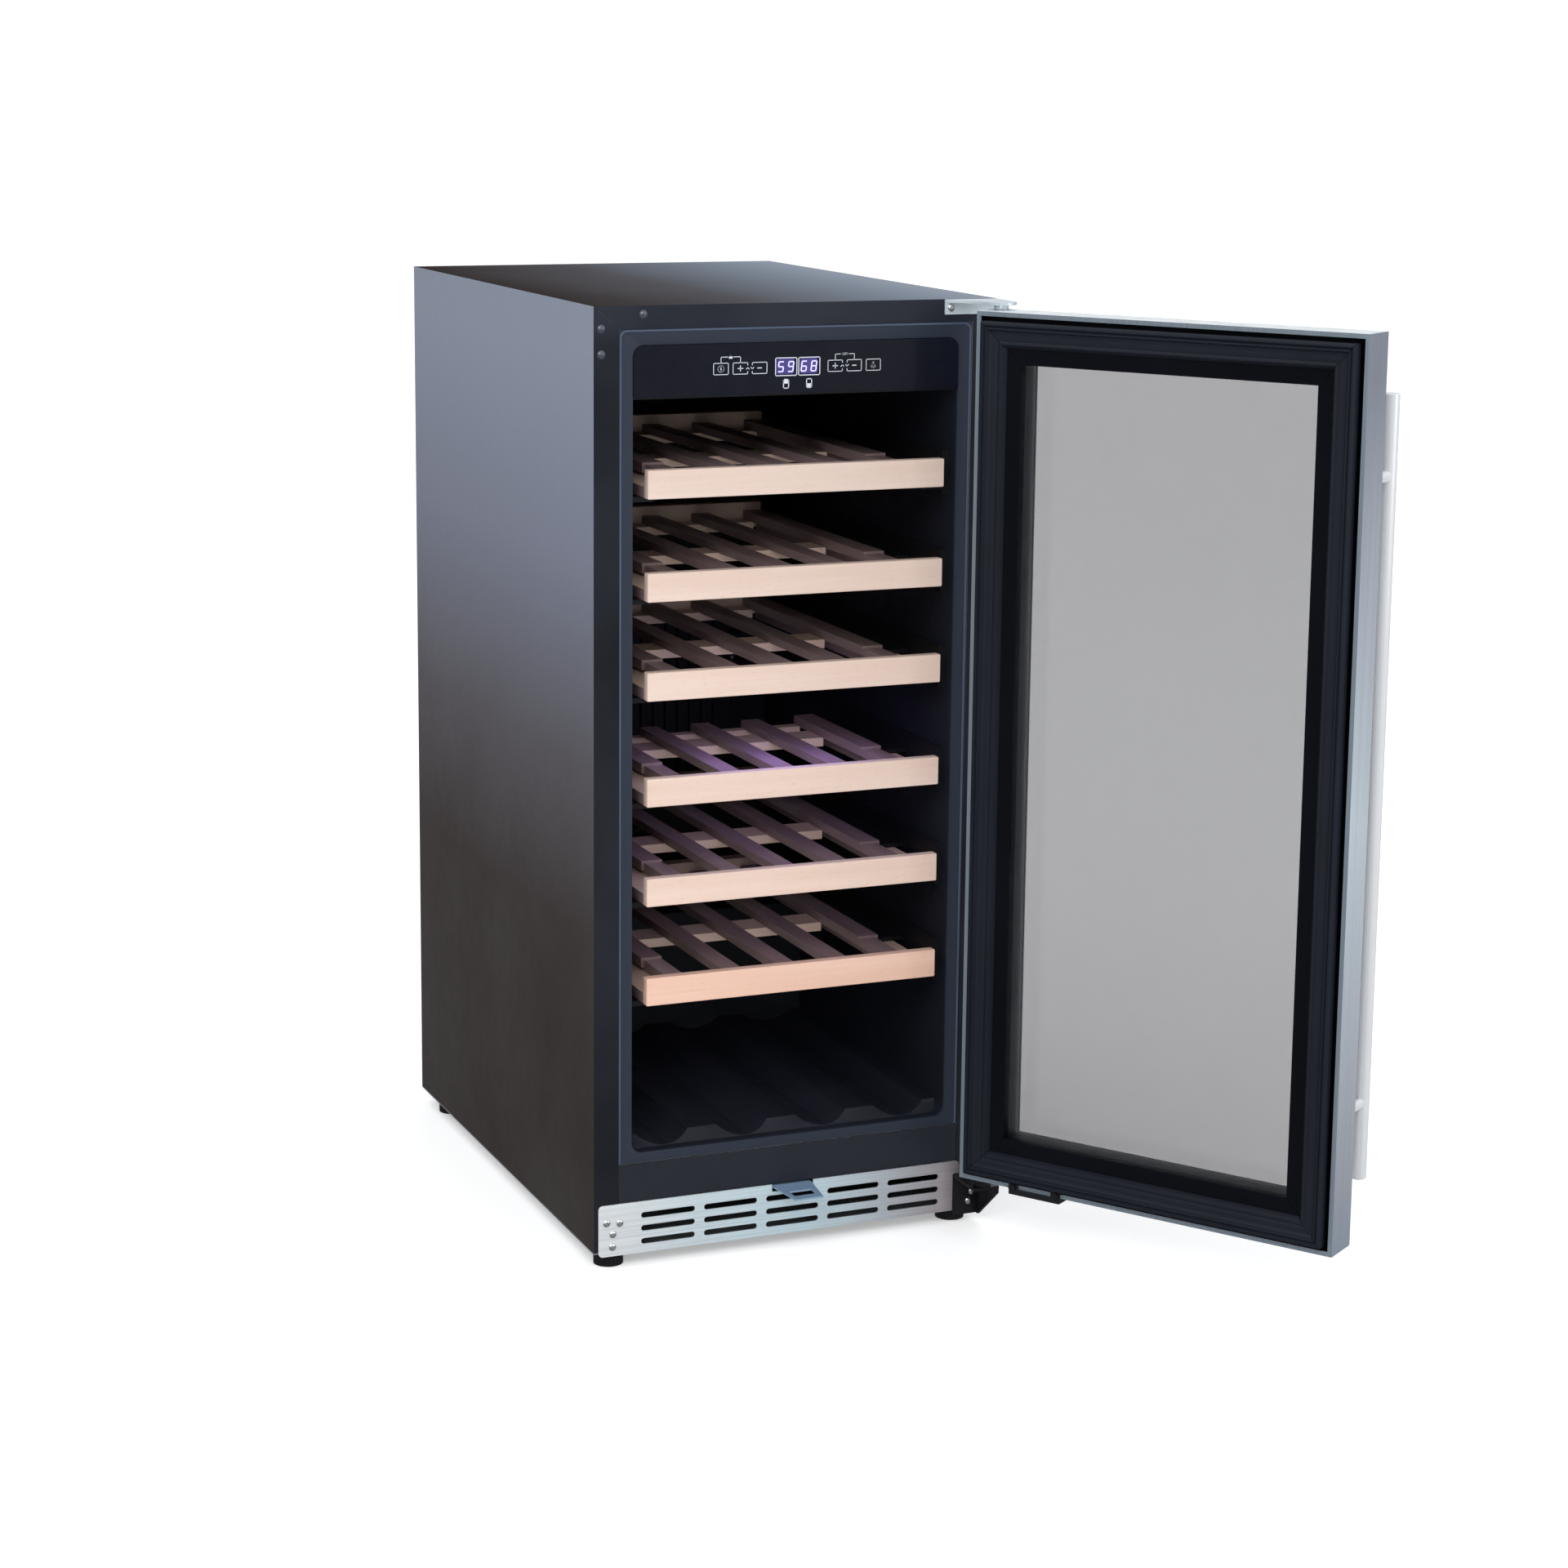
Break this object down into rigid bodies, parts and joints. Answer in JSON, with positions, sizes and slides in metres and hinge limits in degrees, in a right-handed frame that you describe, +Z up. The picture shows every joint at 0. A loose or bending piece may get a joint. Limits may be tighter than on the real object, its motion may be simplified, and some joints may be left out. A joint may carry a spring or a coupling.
{
  "type": "wine cooler",
  "caption": "Under-counter wine cooler with a hinged glass door, sliding wooden shelves, touch control panel, kick grille and levelling feet.",
  "frame": {"origin": "middle of the cabinet's lower front edge, on the underside of the base pan; the feet reach 15 mm below it", "axes": "+X towards the hinge side, -Y out of the front, +Z up"},
  "size_m": [0.6165, 0.8842, 0.86],
  "materials": {
    "cabinet_paint": "satin dark grey-brown paint",
    "frame_paint": "satin near-black paint",
    "black_paint": "satin black paint",
    "galvanised_steel": "galvanised sheet",
    "grey_steel": "grey painted steel",
    "stainless": "brushed stainless steel",
    "handle_steel": "satin stainless tube",
    "screw_steel": "bright plated steel",
    "zinc_steel": "zinc-plated steel",
    "copper": "copper tube",
    "aluminium": "mill aluminium",
    "liner_plastic": "fine-grained black plastic",
    "frame_paint_plastic": "satin near-black plastic",
    "black_plastic": "moulded black plastic",
    "foot_plastic": "moulded black plastic",
    "fan_plastic": "moulded grey-black plastic",
    "white_plastic": "natural white plastic",
    "black_gloss": "gloss black touch panel",
    "display": "lit blue-violet display",
    "light_lens": "translucent white diffuser",
    "tinted_glass": "grey tinted glass with black printed border",
    "rubber": "black rubber",
    "gasket_rubber": "black soft gasket",
    "beech": "pale beech, clear satin lacquer",
    "foam": "cellular foam"
  },
  "bodies": {
    "cabinet": {"outer_shell": "cabinet_paint", "back_panel": "galvanised_steel", "rear_cover": "black_plastic", "base_pan": "galvanised_steel", "compressor_bay_plate": "galvanised_steel", "lower_front_panel": "frame_paint", "inner_liner": "liner_plastic", "foam_insulation": "foam", "kick_grille": "stainless", "cabinet_screws": "screw_steel", "hole_plugs": "black_plastic", "top_hinge": "zinc_steel", "bottom_hinge": "black_paint", "lock_strike": "grey_steel", "control_fascia": "black_gloss", "control_housing": "black_plastic", "control_board": "display", "light_lens": "light_lens", "evaporator_cover": "liner_plastic", "evaporator_coil": "aluminium", "fan_housings": "black_plastic", "shelf_guides": "black_plastic", "compressor": "black_paint", "compressor_grommets": "rubber", "condenser_coil": "black_paint", "drip_tray": "white_plastic", "drain_tube": "white_plastic", "mains_inlet": "black_plastic", "refrigerant_pipes": "copper"},
    "door": {"door_skin": "stainless", "door_inner_frame": "frame_paint_plastic", "door_frame_foam": "foam", "glass_panes": "tinted_glass", "glass_spacer": "aluminium", "door_gasket": "gasket_rubber", "handle": "handle_steel", "door_screws": "screw_steel", "door_stop": "black_plastic", "hinge_bushes": "black_plastic", "lock_barrel": "zinc_steel"},
    "lock": {"lock_cam": "zinc_steel"},
    "shelf_1": {"shelf_1_rail": "beech", "shelf_1_frame": "beech"},
    "shelf_2": {"shelf_2_rail": "beech", "shelf_2_frame": "beech"},
    "shelf_3": {"shelf_3_rail": "beech", "shelf_3_frame": "beech"},
    "shelf_4": {"shelf_4_rail": "beech", "shelf_4_frame": "beech"},
    "shelf_5": {"shelf_5_rail": "beech", "shelf_5_frame": "beech"},
    "shelf_6": {"shelf_6_rail": "beech", "shelf_6_frame": "beech"},
    "fan_upper": {"evaporator_fan_upper": "fan_plastic"},
    "fan_lower": {"evaporator_fan_lower": "fan_plastic"},
    "fan_condenser": {"condenser_fan": "fan_plastic"},
    "foot_front_left": {"foot_front_left": "foot_plastic"},
    "foot_front_right": {"foot_front_right": "foot_plastic"},
    "foot_rear_left": {"foot_rear_left": "foot_plastic"},
    "foot_rear_right": {"foot_rear_right": "foot_plastic"}
  },
  "joints": [
    {"name": "door_hinge", "type": "hinge", "parent": "cabinet", "child": "door", "pos_m": [0.1765, -0.0374, 0.4], "axis": [0, 0, 1], "range_deg": [-124.1, 6]},
    {"name": "lock_turn", "type": "hinge", "parent": "door", "child": "lock", "pos_m": [0.26862, -0.18667, 0.066], "axis": [-0.8281, -0.5606, 0], "range_deg": [0, 90]},
    {"name": "shelf_1_slide", "type": "slide", "parent": "cabinet", "child": "shelf_1", "axis": [0, -1, 0], "range_m": [0, 0.25]},
    {"name": "shelf_2_slide", "type": "slide", "parent": "cabinet", "child": "shelf_2", "axis": [0, -1, 0], "range_m": [0, 0.25]},
    {"name": "shelf_3_slide", "type": "slide", "parent": "cabinet", "child": "shelf_3", "axis": [0, -1, 0], "range_m": [0, 0.25]},
    {"name": "shelf_4_slide", "type": "slide", "parent": "cabinet", "child": "shelf_4", "axis": [0, -1, 0], "range_m": [0, 0.15]},
    {"name": "shelf_5_slide", "type": "slide", "parent": "cabinet", "child": "shelf_5", "axis": [0, -1, 0], "range_m": [0, 0.25]},
    {"name": "shelf_6_slide", "type": "slide", "parent": "cabinet", "child": "shelf_6", "axis": [0, -1, 0], "range_m": [0, 0.25]},
    {"name": "fan_upper_spin", "type": "hinge", "parent": "cabinet", "child": "fan_upper", "pos_m": [0, 0.451, 0.615], "axis": [0, 1, 0], "continuous": true},
    {"name": "fan_lower_spin", "type": "hinge", "parent": "cabinet", "child": "fan_lower", "pos_m": [0, 0.451, 0.262], "axis": [0, 1, 0], "continuous": true},
    {"name": "fan_condenser_spin", "type": "hinge", "parent": "cabinet", "child": "fan_condenser", "pos_m": [-0.12, 0.463, 0.072], "axis": [0, 1, 0], "continuous": true},
    {"name": "foot_front_left_screw", "type": "slide", "parent": "cabinet", "child": "foot_front_left", "axis": [0, 0, -1], "range_m": [0, 0.015]},
    {"name": "foot_front_right_screw", "type": "slide", "parent": "cabinet", "child": "foot_front_right", "axis": [0, 0, -1], "range_m": [0, 0.015]},
    {"name": "foot_rear_left_screw", "type": "slide", "parent": "cabinet", "child": "foot_rear_left", "axis": [0, 0, -1], "range_m": [0, 0.015]},
    {"name": "foot_rear_right_screw", "type": "slide", "parent": "cabinet", "child": "foot_rear_right", "axis": [0, 0, -1], "range_m": [0, 0.015]}
  ]
}
